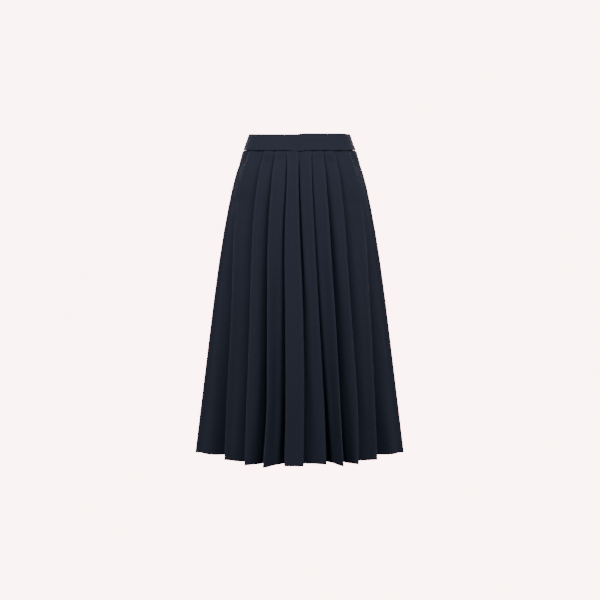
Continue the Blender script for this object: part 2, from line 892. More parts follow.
    def line(self, panel: Panel, z: float) -> PlanLine:
        """Run one panel's cloth at a height, anticlockwise seen from above.

        Args:
            panel: which panel.
            z: the height.

        Returns:
            The fine plan line.
        """
        if panel is Panel.FRONT:
            left = self.side_run(Side.LEFT, z, 0, self.seam_fold[Side.LEFT])
            right = self.side_run(Side.RIGHT, z, 0, self.seam_fold[Side.RIGHT])
            centre = []
            for index in range(1, self.panel_knots + 1):
                place = index / (self.panel_knots + 1)
                point = left[0].point * PLAN_MIRROR * (1.0 - place) + right[0].point * place
                centre.append(Knot(point, self.soft_cut))
            return PlanLine.through(self.mirrored(left) + centre + right)
        side = Side.RIGHT if panel is Panel.BACK_OVER else Side.LEFT
        pleats, _, _ = self.form.side_pleats(side, z)
        fold = self.seam_fold[side]
        _, seam = self.seam_ends(pleats[fold])
        knots = [Knot(seam), Knot(pleats[fold][5], self.soft_cut)]
        knots += self.side_run(side, z, fold + 1, None)
        if side is Side.LEFT:
            knots = self.mirrored(knots)
        return PlanLine.through(knots)

    def mirrored(self, knots: list[Knot]) -> list[Knot]:
        """Swap left and right, and run the knots the other way."""
        return [replace(knot, point=knot.point * PLAN_MIRROR) for knot in reversed(knots)]


class ShellMesh:
    """Builds a closed shell of cloth from rows that each hold an outer and an inner line of points."""

    def __init__(self, name: str) -> None:
        """Start an empty shell.

        Args:
            name: the piece's name.
        """
        self.name = name
        self.mesh = bmesh.new()
        self.uv = self.mesh.loops.layers.uv.new("cloth")
        self.crease = self.mesh.verts.layers.float.new("fold")
        self.places: dict[bmesh.types.BMVert, tuple[float, float]] = {}

    def vertex(self, point: Point, place: tuple[float, float], crease: float) -> bmesh.types.BMVert:
        """Add one vertex with its place on the flat cloth and how strongly it is pressed.

        Args:
            point: where it is.
            place: where it lies on the flat cloth.
            crease: how strongly it is pressed.

        Returns:
            The vertex.
        """
        vertex = self.mesh.verts.new(point)
        vertex[self.crease] = crease
        self.places[vertex] = place
        return vertex

    def finish(self) -> bpy.types.Object:
        """Smooth the faces, turn them outwards and lay their UV map, and put the shell in the scene.

        Returns:
            The piece, at the origin.
        """
        bmesh.ops.recalc_face_normals(self.mesh, faces=self.mesh.faces)
        for face in self.mesh.faces:
            face.smooth = True
            for loop in face.loops:
                loop[self.uv].uv = self.places[loop.vert]
        return put_mesh(self.name, self.mesh)


@dataclass(frozen=True)
class PanelCut:
    """The flat size that a panel was cut to, in metres and square metres."""

    panel: Panel
    width: float
    length: float
    area: float


@dataclass
class PleatedPanel:
    """One of the three panels, a thin shell with a turned hem.

    Tuck drops are the depths below the seam that the band hides, where the cloth is thinner. Each pair of
    the hem's rounding holds a share of the round's size and a share of the cloth's thickness.
    """

    cloth: PleatedCloth
    cut: PanelCut
    rows: int = 128
    half_cloth: float = 0.00045
    hem_turning: float = 0.035
    hem_extra: float = 0.00022
    hem_ease: float = 0.003
    edge_round: float = 0.0005
    tuck_drops: tuple[float, ...] = (0.0, 0.0008, 0.0016, 0.0025, 0.0035, 0.0048)
    tuck_share: float = 0.8
    tuck_gap: float = 0.0015
    hem_rounding: tuple[Span, ...] = ((0.3, 0.8), (0.0, 0.4))

    def heights(self) -> list[tuple[float, float]]:
        """List the rows' heights from the seam down, each with its share of the cloth's thickness.

        Returns:
            The heights and shares.
        """
        form = self.cloth.form
        tucked = [form.seam_z - drop for drop in self.tuck_drops]
        plain = np.linspace(tucked[-1] - self.tuck_gap, form.hem_z + self.edge_round, self.rows)
        rows = [(z, self.tuck_share) for z in tucked] + [(float(z), 1.0) for z in plain]
        return rows + [(form.hem_z + up * self.edge_round, share) for up, share in self.hem_rounding]

    def build(self) -> bpy.types.Object:
        """Loft the shell through its rows.

        Returns:
            The panel, with its flat place in its UV map and its pressed folds in an attribute.
        """
        shell = ShellMesh(f"{self.cut.panel.value}_cloth")
        form = self.cloth.form
        grid = []
        for z, fullness in self.heights():
            line = self.cloth.line(self.cut.panel, z)
            turned = ramp(form.hem_z + self.hem_turning - z, 0.0, self.hem_ease)
            half = self.half_cloth * fullness
            outer, inner = line.walls(half, half + self.hem_extra * turned * fullness)
            lengths = line.lengths() - 0.5 * line.lengths()[-1]
            row = []
            for wall in (outer, inner):
                row.append([
                    shell.vertex((float(x), float(y), z), (float(u), -z), float(crease))
                    for (x, y), u, crease in zip(wall, lengths, line.crease)
                ])
            grid.append(row)
        for upper, lower in zip(grid, grid[1:]):
            for wall in (0, 1):
                fill(shell.mesh, upper[wall], lower[wall])
            for end in (0, -1):
                fill(shell.mesh, [wall[end] for wall in upper], [wall[end] for wall in lower])
        for outer, inner in (grid[0], grid[-1]):
            fill(shell.mesh, outer, inner)
        return shell.finish()

    def dress(self, piece: bpy.types.Object, material: bpy.types.Material) -> None:
        """Finish the panel and declare what it stands for, rides on and was cut from.

        Args:
            piece: the panel's shell.
            material: its cloth.
        """
        piece.data.materials.append(material)
        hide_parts(self.cut.panel.value)
        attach(piece, BODY)


@dataclass
class Waistband:
    """The folded band, one strip whose ends lap at the centre back.

    Its profile holds shares of its height and of its thickness, from the foot up the outer face and down the
    inner one, where the foot is thick with the seam allowances. Its top edge slumps on one side of the centre
    front and perks up on the other, and its seam dips a little beside it. Runs are in metres.
    """

    height: float = 0.038
    thickness: float = 0.0030
    top_half_width: float = 0.1200
    seam_half_width: float = 0.1338
    depth_ratio: float = 0.70
    lift: float = 0.0022
    lap_gap: float = 0.0005
    lap_clear: float = 0.004
    lap_run: float = 0.020
    overlap: float = 0.012
    underlap: float = 0.110
    steps: int = 300
    sway: float = 0.00035
    slump: float = 0.0040
    perk: float = 0.0014
    dip: float = 0.0018
    sways: tuple[Wave, ...] = (Wave(1.0, 31.0, 90.0), Wave(0.5, 73.0, 0.0))
    calm_start: float = 0.9
    calm_run: float = 0.15
    front_run: Span = (0.02, 0.05)
    slump_run: Span = (-0.010, 0.022)
    dip_start: Span = (-0.0200, -0.0175)
    dip_end: Span = (0.0115, 0.0090)
    dip_height: float = 0.25
    bulk_run: float = 0.015
    end_shrink: float = 0.012
    profile_step: float = 0.002
    fold_share: float = 0.47
    flat: Span = (0.817, 0.038)
    profile: tuple[Span, ...] = (
        (-0.500, 0.30), (-0.496, 0.43), (-0.486, 0.50), (-0.460, 0.53), (-0.400, 0.53), (-0.330, 0.50),
        (-0.180, 0.47), (0.000, 0.46), (0.200, 0.47), (0.380, 0.48), (0.440, 0.46), (0.472, 0.38),
        (0.492, 0.22), (0.500, 0.0), (0.492, -0.22), (0.472, -0.38), (0.430, -0.48), (0.200, -0.50),
        (0.000, -0.50), (-0.180, -0.50), (-0.300, -0.65), (-0.380, -1.15), (-0.440, -1.80), (-0.478, -2.12),
        (-0.492, -2.18), (-0.500, -2.02), (-0.500, -0.60),
    )
    end_rings: tuple[Span, ...] = ((0.0, 0.55), (0.0003, 0.85), (0.0008, 1.0))

    def oval(self, z: float) -> Oval:
        """Give the oval beneath the band at a height."""
        share = (0.5 * self.height - z) / self.height
        outer = blend(self.top_half_width, self.seam_half_width, share)
        return Oval(outer - self.lift - 0.5 * self.thickness, self.depth_ratio)

    def spot(self, arc: float, height: float, off: float, oval: Oval, half_round: float) -> Point:
        """Find a place on the strip as it is worn.

        Args:
            arc: how far round the body from the centre front, at mid height.
            height: how far above the strip's middle.
            off: how far off its middle layer, as a share of its thickness.
            oval: the oval at that height.
            half_round: half of the way round the oval at mid height.

        Returns:
            The place in space.
        """
        rise = min(1.0, max(0.0, (arc + half_round - self.overlap - self.lap_clear) / self.lap_run))
        bulk = ramp(half_round - self.underlap - self.bulk_run - arc, -self.bulk_run, 0.0)
        off = -0.5 + (off + 0.5) * bulk if off < -0.5 else off
        drop = (self.thickness + self.lap_gap) * (1.0 - rise)
        calm = ramp(self.calm_start * half_round - abs(arc), 0.0, self.calm_run * half_round)
        sway = self.sway * calm * sum(wave.at(arc, height) for wave in self.sways)
        x, y = oval.at(oval.bearing_at(arc * oval.half_round / half_round), 1.0,
                       self.lift - drop + off * self.thickness + sway)
        front = ramp(-float(y), *self.front_run)
        upper = front * ramp(height, 0.0, 0.5 * self.height)
        sag = upper * ((self.slump + self.perk) * ramp(-float(x), *self.slump_run) - self.perk)
        near = ramp(arc, *self.dip_start) * ramp(arc, *self.dip_end)
        sag += self.dip * near * ramp(-height, self.dip_height * self.height, 0.5 * self.height)
        return float(x), float(y), height - sag

    def half_round(self) -> float:
        """Measure half of the way round beneath the band at mid height."""
        return self.oval(0.0).half_round

    def face_depth(self, z: float) -> float:
        """Give how far behind the centre the band's outer face stands at the centre back."""
        return self.oval(z).half_depth + self.lift + 0.5 * self.thickness

    def lean(self) -> float:
        """Give the angle at which the band leans inwards to its top."""
        top, bottom = (self.oval(share * self.height).half_depth for share in (0.5, -0.5))
        return math.atan((bottom - top) / self.height)

    def build(self) -> bpy.types.Object:
        """Sweep the band's profile round the body.

        Returns:
            The band, with its flat place in its UV map.
        """
        shell = ShellMesh("waistband_cloth")
        ovals = [self.oval(share * self.height) for share, _ in self.profile]
        half_round = self.half_round()
        start = -half_round - self.underlap
        end = half_round + self.overlap
        arcs = [(float(arc), 1.0) for arc in np.linspace(start, end, self.steps)[1:-1]]
        arcs = [(start + inset, full) for inset, full in self.end_rings] + arcs[1:-1]
        arcs += [(end - inset, full) for inset, full in reversed(self.end_rings)]
        rings = []
        for arc, full in arcs:
            ring = []
            round_the_section = 0.0
            for (share, off), oval in zip(self.profile, ovals):
                height = share * self.height * (1.0 - self.end_shrink * (1.0 - full))
                spot = self.spot(arc, height, off * full, oval, half_round)
                crease = ramp(abs(share), self.fold_share, 0.5)
                ring.append(shell.vertex(spot, (arc, round_the_section), crease))
                round_the_section += self.profile_step
            rings.append(ring)
        for ring, after in zip(rings, rings[1:]):
            fill(shell.mesh, ring, after, closed=True)
        shell.mesh.faces.new(list(reversed(rings[0])))
        shell.mesh.faces.new(rings[-1])
        return shell.finish()

    def dress(self, piece: bpy.types.Object, material: bpy.types.Material) -> None:
        """Finish the band and declare what it stands for, rides on and was cut from.

        Args:
            piece: the band.
            material: its cloth.
        """
        piece.data.materials.append(material)
        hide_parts("waistband")
        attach(piece, BODY)


@dataclass
class WaistButton:
    """The turned button that holds the lap at the centre back.

    Its outline runs from the middle of the back to the middle of the face, in shares of the radius, of the
    thickness and of the dish in the face. A bar of its thread rises over shares of half the holes' spread.
    """

    radius: float = 0.009
    thickness: float = 0.0028
    seat: float = 0.0005
    dish: float = 0.0008
    hole_radius: float = 0.00095
    hole_spread: float = 0.0021
    hole_sides: int = 16
    drill_depth: float = 4.0
    sides: int = 64
    sharp_from: float = 38.0
    outline: tuple[Point, ...] = (
        (0.0, 0.0, 0.0), (0.70, 0.0, 0.0), (0.90, 0.10, 0.0), (0.985, 0.32, 0.0), (1.0, 0.55, 0.0),
        (0.985, 0.80, 0.0), (0.93, 0.97, 0.0), (0.88, 1.0, 0.0), (0.82, 0.95, 0.0), (0.76, 1.0, 0.8),
        (0.66, 1.0, 1.0), (0.30, 1.0, 1.0), (0.0, 1.0, 1.0),
    )
    bar_rise: tuple[Span, ...] = ((-1.0, 0.0), (-0.6, 0.0005), (0.0, 0.00062), (0.6, 0.0005), (1.0, 0.0))
    strands: tuple[float, ...] = (-0.00028, 0.0, 0.00028)

    def profile(self) -> list[Span]:
        """Give the turned outline as radii and heights."""
        return [(out * self.radius, up * self.thickness - down * self.dish) for out, up, down in self.outline]

    def build(self, band: Waistband) -> bpy.types.Object:
        """Turn the button, drill its four holes and set it against the band.

        Args:
            band: the band whose outer end carries it.

        Returns:
            The button.
        """
        mesh = bmesh.new()
        outline = self.profile()
        back = mesh.verts.new((0.0, 0.0, outline[0][1]))
        front = mesh.verts.new((0.0, 0.0, outline[-1][1]))
        rings = [[mesh.verts.new((radius * x, radius * y, height)) for x, y in circle(self.sides)]
                 for radius, height in outline[1:-1]]
        for side in range(self.sides):
            after = (side + 1) % self.sides
            mesh.faces.new((back, rings[0][after], rings[0][side]))
            mesh.faces.new((front, rings[-1][side], rings[-1][after]))
        for lower, upper in zip(rings, rings[1:]):
            fill(mesh, lower, upper, closed=True)
        bmesh.ops.recalc_face_normals(mesh, faces=mesh.faces)
        button = put_mesh("waist_button_turned", mesh)
        drill = put_mesh("drill", self.drill_mesh())
        holes = button.modifiers.new("holes", "BOOLEAN")
        holes.object = drill
        holes.operation = "DIFFERENCE"
        holes.solver = "EXACT"
        apply_modifiers(button)
        bpy.data.objects.remove(drill, do_unlink=True)
        button.data.transform(self.seating(band))
        for face in button.data.polygons:
            face.use_smooth = True
        button.data.set_sharp_from_angle(angle=math.radians(self.sharp_from))
        return button

    def drill_mesh(self) -> bmesh.types.BMesh:
        """Make the four pins that the holes are cut with.

        Returns:
            The pins, across the button's plane.
        """
        mesh = bmesh.new()
        for across in (-1.0, 1.0):
            for up in (-1.0, 1.0):
                pin = bmesh.ops.create_cone(mesh, cap_ends=True, segments=self.hole_sides,
                                            radius1=self.hole_radius, radius2=self.hole_radius,
                                            depth=self.drill_depth * self.thickness)
                shift = Vector((across, up, 0.0)) * (0.5 * self.hole_spread)
                bmesh.ops.translate(mesh, verts=pin["verts"], vec=shift)
        return mesh

    def seating(self, band: Waistband) -> Matrix:
        """Give the move from the button's own axes to its seat on the band."""
        turn = Matrix.Rotation(band.lean() - 0.5 * math.pi, 4, "X")
        return Matrix.Translation((0.0, band.face_depth(0.0) + self.seat, 0.0)) @ turn

    def thread_paths(self, band: Waistband) -> list[list[Vector]]:
        """Follow the sewing thread over the button, in two parallel bars from hole to hole.

        Args:
            band: the band that the button is sewn to.

        Returns:
            The middle line of each strand.
        """
        seat = self.seating(band)
        half = 0.5 * self.hole_spread
        top = self.thickness - self.dish
        paths = []
        for across in (-half, half):
            for shift in self.strands:
                bar = [(share * half, top + rise) for share, rise in self.bar_rise]
                bar = [(-half, -self.seat), *bar, (half, -self.seat)]
                paths.append([seat @ Vector((across + shift, up, out)) for up, out in bar])
        return paths

    def dress(self, piece: bpy.types.Object, material: bpy.types.Material) -> None:
        """Finish the button and say what it stands for and rides on.

        Args:
            piece: the button.
            material: its horn-like finish.
        """
        piece.data.materials.append(material)
        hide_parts("waist_button")
        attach(piece, BODY)


@dataclass
class SewnRow:
    """A line on the cloth that stitches follow, with the way that each stitch lies."""

    points: list[Vector]
    lays: list[Vector]
    closed: bool = False


@dataclass(frozen=True)
class StitchKind:
    """The sizes of one kind of stitch."""

    pitch: float
    length: float
    thread: float
    stray: float


@dataclass
class Stitching:
    """Sews rows of stitches with a node tree that lays one short thread at each step of a line."""

    sides: int = 6
    seed: int = 11

    def guide(self, name: str, rows: list[SewnRow]) -> bpy.types.Object:
        """Draw the rows as plain edges that carry each stitch's direction.

        Args:
            name: the piece's name.
            rows: the lines.

        Returns:
            The object whose mesh holds them.
        """
        places: list[Vector] = []
        lays: list[Vector] = []
        edges: list[tuple[int, int]] = []
        for row in rows:
            first = len(places)
            places += row.points
            lays += row.lays
            edges += [(index, index + 1) for index in range(first, len(places) - 1)]
            if row.closed:
                edges.append((len(places) - 1, first))
        data = bpy.data.meshes.new(name)
        data.from_pydata([tuple(place) for place in places], edges, [])
        layer = data.attributes.new("lay", "FLOAT_VECTOR", "POINT")
        for item, lay in zip(layer.data, lays):
            item.vector = lay
        return put(name, data)

    def tree(self) -> bpy.types.NodeTree:
        """Build the node tree that lays the stitches.

        Returns:
            The tree, with its sizes as named inputs.
        """
        stitches = Tree(bpy.data.node_groups.new("stitches", "GeometryNodeTree"))
        node, tree = stitches.node, stitches.tree
        face = tree.interface
        face.new_socket("Geometry", in_out="INPUT", socket_type="NodeSocketGeometry")
        for name in ("Pitch", "Length", "Thread", "Stray"):
            face.new_socket(name, in_out="INPUT", socket_type="NodeSocketFloat")
        face.new_socket("Material", in_out="INPUT", socket_type="NodeSocketMaterial")
        face.new_socket("Geometry", in_out="OUTPUT", socket_type="NodeSocketGeometry")
        into = tree.nodes.new("NodeGroupInput").outputs
        out = tree.nodes.new("NodeGroupOutput").inputs
        line = node("GeometryNodeMeshToCurve", {}, {0: into["Geometry"]})
        steps = node("GeometryNodeResampleCurve", {"mode": "LENGTH"},
                     {"Curve": line.outputs[0], "Length": into["Pitch"]})
        lay = node("GeometryNodeInputNamedAttribute", {"data_type": "FLOAT_VECTOR"}, {"Name": "lay"})
        stray = node("FunctionNodeRandomValue", {"data_type": "FLOAT_VECTOR"},
                     {0: (-1.0, -1.0, -1.0), 1: (1.0, 1.0, 1.0), "Seed": self.seed})
        scaled = node("ShaderNodeVectorMath", {"operation": "SCALE"},
                      {0: stray.outputs[0], "Scale": into["Stray"]})
        aim = node("ShaderNodeVectorMath", {"operation": "ADD"}, {0: lay.outputs[0], 1: scaled.outputs[0]})
        turn = node("FunctionNodeAlignRotationToVector", {"axis": "Z"}, {"Vector": aim.outputs[0]})
        thread = node("GeometryNodeMeshCylinder", {},
                      {"Vertices": self.sides, "Radius": into["Thread"], "Depth": into["Length"]})
        laid = node("GeometryNodeInstanceOnPoints", {},
                    {"Points": steps.outputs[0], "Instance": thread.outputs[0], "Rotation": turn.outputs[0]})
        real = node("GeometryNodeRealizeInstances", {}, {0: laid.outputs[0]})
        done = node("GeometryNodeSetMaterial", {},
                    {"Geometry": real.outputs[0], "Material": into["Material"]})
        tree.links.new(done.outputs[0], out["Geometry"])
        return tree

    def sew(self, name: str, rows: list[SewnRow], kind: StitchKind,
            material: bpy.types.Material) -> bpy.types.Object:
        """Sew the rows, and leave a plain mesh.

        Args:
            name: the piece's name.
            rows: the lines to follow.
            kind: the stitch.
            material: the thread.

        Returns:
            The piece.
        """
        piece = self.guide(name, rows)
        tree = self.tree()
        sewing = piece.modifiers.new("sewing", "NODES")
        sewing.node_group = tree
        given = {name.capitalize(): size for name, size in asdict(kind).items()} | {"Material": material}
        for item in tree.interface.items_tree:
            if item.item_type == "SOCKET" and item.in_out == "INPUT" and item.name in given:
                sewing[item.identifier] = given[item.name]
        apply_modifiers(piece)
        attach(piece, BODY)
        return piece

    def tubes(self, name: str, paths: list[list[Vector]], radius: float,
              material: bpy.types.Material) -> bpy.types.Object:
        """Draw threads as thin round tubes with closed ends.

        Args:
            name: the piece's name.
            paths: the middle line of each thread.
            radius: half of the thread's thickness.
            material: the thread.

        Returns:
            The piece.
        """
        mesh = bmesh.new()
        for path in paths:
            rings = []
            for index, place in enumerate(path):
                along = (path[min(index + 1, len(path) - 1)] - path[max(index - 1, 0)]).normalized()
                across = along.orthogonal().normalized() if index == 0 else across
                across = (across - along * across.dot(along)).normalized()
                up = along.cross(across)
                rings.append([mesh.verts.new(place + (across * x + up * y) * radius)
                              for x, y in circle(self.sides)])
            for ring, after in zip(rings, rings[1:]):
                fill(mesh, ring, after, closed=True)
            mesh.faces.new(list(reversed(rings[0])))
            mesh.faces.new(rings[-1])
        for face in mesh.faces:
            face.smooth = len(face.verts) == 4
        bmesh.ops.recalc_face_normals(mesh, faces=mesh.faces)
        piece = put_mesh(name, mesh, material)
        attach(piece, BODY)
        return piece


@dataclass
class SkirtSewing:
    """The hand and machine stitches of the skirt: hem, wrap edges, band, buttonhole and button.

    Slants say how steeply stitches lean to their row. Offs are shares of the band's thickness from its
    middle.
    """

    cloth: PleatedCloth
    band: Waistband
    hem_height: float = 0.0335
    edge_inset: float = 0.008
    clear: float = 0.00085
    hem_kind: StitchKind = StitchKind(0.0070, 0.0032, 0.00013, 0.25)
    edge_kind: StitchKind = StitchKind(0.0055, 0.0030, 0.00013, 0.12)
    band_kind: StitchKind = StitchKind(0.0045, 0.0024, 0.00014, 0.20)
    hole_kind: StitchKind = StitchKind(0.00034, 0.0022, 0.00017, 0.05)
    hem_slant: float = 0.8
    edge_start: float = 0.004
    edge_points: int = 60
    edge_lay: Point = (0.15, 0.0, 1.0)
    band_foot: float = 0.0022
    band_inset: float = 0.004
    band_points: int = 240
    band_off: float = -1.88
    band_slant: float = 0.7
    hole_start: float = -0.0030
    hole_end: float = 0.0175
    hole_half: float = 0.00135
    hole_points: int = 24
    hole_turn: int = 15
    hole_off: float = 0.50
    probe: float = 0.001
    button_thread: float = 0.00016

    def hem_rows(self) -> list[SewnRow]:
        """Follow the top of the turned hem, on the inside of each panel.

        Returns:
            One row for each panel.
        """
        rows = []
        z = self.cloth.form.hem_z + self.hem_height
        for panel in Panel:
            line = self.cloth.line(panel, z)
            _, inner = line.walls(0.0, self.clear)
            steps = np.gradient(inner, axis=0)
            points = [Vector((float(x), float(y), z)) for x, y in inner]
            lays = [Vector((float(dx), float(dy), 0.0)).normalized() + Vector((0.0, 0.0, self.hem_slant))
                    for dx, dy in steps]
            rows.append(SewnRow(points, lays))
        return rows

    def edge_rows(self) -> list[SewnRow]:
        """Follow the inside of both free edges of the wrap, from the band to the hem.

        Returns:
            One row for each free edge.
        """
        rows = []
        form = self.cloth.form
        for panel in (Panel.BACK_OVER, Panel.BACK_UNDER):
            points = []
            top, foot = form.seam_z - self.edge_start, form.hem_z + self.hem_height
            for z in np.linspace(top, foot, self.edge_points):
                line = self.cloth.line(panel, float(z))
                _, inner = line.walls(0.0, self.clear)
                lengths = line.lengths()
                inset = self.edge_inset if panel is Panel.BACK_UNDER else lengths[-1] - self.edge_inset
                x, y = (float(np.interp(inset, lengths, inner[:, axis])) for axis in (0, 1))
                points.append(Vector((x, y, float(z))))
            rows.append(SewnRow(points, [Vector(self.edge_lay)] * len(points)))
        return rows

    def band_point(self, arc: float, height: float, off: float) -> Vector:
        """Find a place on the band as it is worn."""
        band = self.band
        return Vector(band.spot(arc, height, off, band.oval(height), band.half_round()))

    def band_rows(self) -> list[SewnRow]:
        """Follow the foot of the band on the inside, where it is slipped down over the seam.

        Returns:
            The row.
        """
        band = self.band
        half_round = band.half_round()
        height = -0.5 * band.height + self.band_foot
        arcs = np.linspace(-half_round - band.underlap + self.band_inset,
                           half_round + band.overlap - self.band_inset, self.band_points)
        points = [self.band_point(float(arc), height, self.band_off) for arc in arcs]
        lays = [(after - before).normalized() + Vector((0.0, 0.0, self.band_slant))
                for before, after in zip([points[0], *points[:-1]], [*points[1:], points[-1]])]
        return [SewnRow(points, lays)]

    def hole_rows(self) -> list[SewnRow]:
        """Follow the buttonhole's rim on the band's outer end.

        Returns:
            The closed row.
        """
        half_round = self.band.half_round()
        start, end = half_round - self.hole_end, half_round - self.hole_start
        half, outline = self.hole_half, []
        for way, first, last in ((1.0, start, end), (-1.0, end, start)):
            for arc in np.linspace(first, last, self.hole_points):
                outline.append((float(arc), way * half, math.radians(90.0)))
            for degrees in range(self.hole_turn, 180, self.hole_turn):
                turn = math.radians(degrees)
                outline.append((last + way * half * math.sin(turn), way * half * math.cos(turn),
                                math.radians(90.0 - degrees)))
        points, lays = [], []
        for arc, height, turn in outline:
            spot, beside, above = (self.band_point(arc + along, height + up, self.hole_off)
                                   for along, up in ((0.0, 0.0), (self.probe, 0.0), (0.0, self.probe)))
            along, up = (beside - spot).normalized(), (above - spot).normalized()
            points.append(spot)
            lays.append(along * math.cos(turn) + up * math.sin(turn))
        return [SewnRow(points, lays, closed=True)]

    def build(self, turned: WaistButton, material: bpy.types.Material) -> list[bpy.types.Object]:
        """Sew everything.

        Args:
            turned: the button, which its own thread holds.
            material: the thread.

        Returns:
            The sewn pieces.
        """
        sewing = Stitching()
        kinds = (
            ("hem_stitches", self.hem_rows(), self.hem_kind),
            ("wrap_edge_stitches", self.edge_rows(), self.edge_kind),
            ("band_slip_stitches", self.band_rows(), self.band_kind),
            ("buttonhole_stitches", self.hole_rows(), self.hole_kind),
        )
        pieces = [sewing.sew(name, rows, kind, material) for name, rows, kind in kinds]
        paths = turned.thread_paths(self.band)
        return [*pieces, sewing.tubes("button_thread", paths, self.button_thread, material)]


class Value:
    """A number in a node tree, on which plain arithmetic adds Math nodes."""

    def __init__(self, graph: Graph, socket: bpy.types.NodeSocket) -> None:
        """Wrap a socket that gives a number."""
        self.graph = graph
        self.socket = socket

    def maths(self, operation: str, *others: Value | float) -> Value:
        """Add one Math node that takes this value first."""
        inputs = {0: self} | {index + 1: other for index, other in enumerate(others)}
        return self.graph.value("ShaderNodeMath", {"operation": operation}, inputs)

    def __add__(self, other: Value | float) -> Value:
        """Add."""
        return self.maths("ADD", other)

    __radd__ = __add__

    def __sub__(self, other: Value | float) -> Value:
        """Take away."""
        return self.maths("SUBTRACT", other)

    def __rsub__(self, other: float) -> Value:
        """Take this value away from a number."""
        return self.maths("MULTIPLY", -1.0) + other

    def __mul__(self, other: Value | float) -> Value:
        """Multiply."""
        return self.maths("MULTIPLY", other)

    __rmul__ = __mul__

    def sine(self) -> Value:
        """Take the sine."""
        return self.maths("SINE")

    def clamped(self) -> Value:
        """Hold between 0 and 1."""
        return self.maths("MAXIMUM", 0.0).maths("MINIMUM", 1.0)


class Tree:
    """Adds nodes to a node tree."""

    def __init__(self, tree: bpy.types.NodeTree) -> None:
        """Take the tree that nodes are added to."""
        self.tree = tree

    def node(self, kind: str, settings: Settings, inputs: Inputs) -> bpy.types.Node:
        """Add one node.

        Args:
            kind: the node's type.
            settings: its own settings, set before its sockets.
            inputs: a value, socket or wrapped value for each input that isn't left as it is.

        Returns:
            The node.
        """
        node = self.tree.nodes.new(kind)
        for key, setting in settings.items():
            setattr(node, key, setting)
        for key, given in inputs.items():
            self.feed(node.inputs[key], given)
        return node

    def feed(self, socket: bpy.types.NodeSocket, given: object) -> None:
        """Link a socket or set its value.

        Args:
            socket: the socket.
            given: a wrapped value, a socket or a plain value.
        """
        source = given.socket if isinstance(given, Value) else given
        if isinstance(source, bpy.types.NodeSocket):
            self.tree.links.new(source, socket)
        else:
            socket.default_value = source


class Graph(Tree):
    """Adds nodes to one material."""

    def __init__(self, name: str) -> None:
        """Start a material with only its output and its shader.

        Args:
            name: the material's name.
        """
        self.material = bpy.data.materials.new(name)
        self.material.use_nodes = True
        super().__init__(self.material.node_tree)
        self.shader = self.tree.nodes["Principled BSDF"]

    def value(self, kind: str, settings: Settings, inputs: Inputs, output: int | str = 0) -> Value:
        """Add one node and give one of its outputs as a number."""
        return Value(self, self.node(kind, settings, inputs).outputs[output])

    def noise(self, where: bpy.types.NodeSocket, scale: float, detail: float = 2.0,
              roughness: float = 0.5) -> Value:
        """Add a noise of about 0 to 1 at a scale given in cells a metre."""
        inputs = {"Vector": where, "Scale": scale, "Detail": detail, "Roughness": roughness}
        return self.value("ShaderNodeTexNoise", {}, inputs, "Fac")

    def mixed(self, share: Value | float, first: object, second: object) -> bpy.types.NodeSocket:
        """Mix two colours, the second by its share.

        Args:
            share: the second colour's share.
            first: a colour or its socket.
            second: the same.

        Returns:
            The socket that gives the mix.
        """
        node = self.node("ShaderNodeMix", {"data_type": "RGBA"}, {})
        self.feed(node.inputs[0], share)
        for index, given in ((6, first), (7, second)):
            self.feed(node.inputs[index], (*given, 1.0) if isinstance(given, tuple) else given)
        return node.outputs[2]

    def bump(self, height: Value, strength: float, distance: float) -> bpy.types.NodeSocket:
        """Add a bump of a height."""
        inputs = {"Strength": strength, "Distance": distance, "Height": height}
        return self.node("ShaderNodeBump", {}, inputs).outputs["Normal"]

    def set(self, **given: object) -> None:
        """Feed the shader's own sockets, named with underscores for spaces."""
        for key, value in given.items():
            self.feed(self.shader.inputs[key.replace("_", " ")], value)


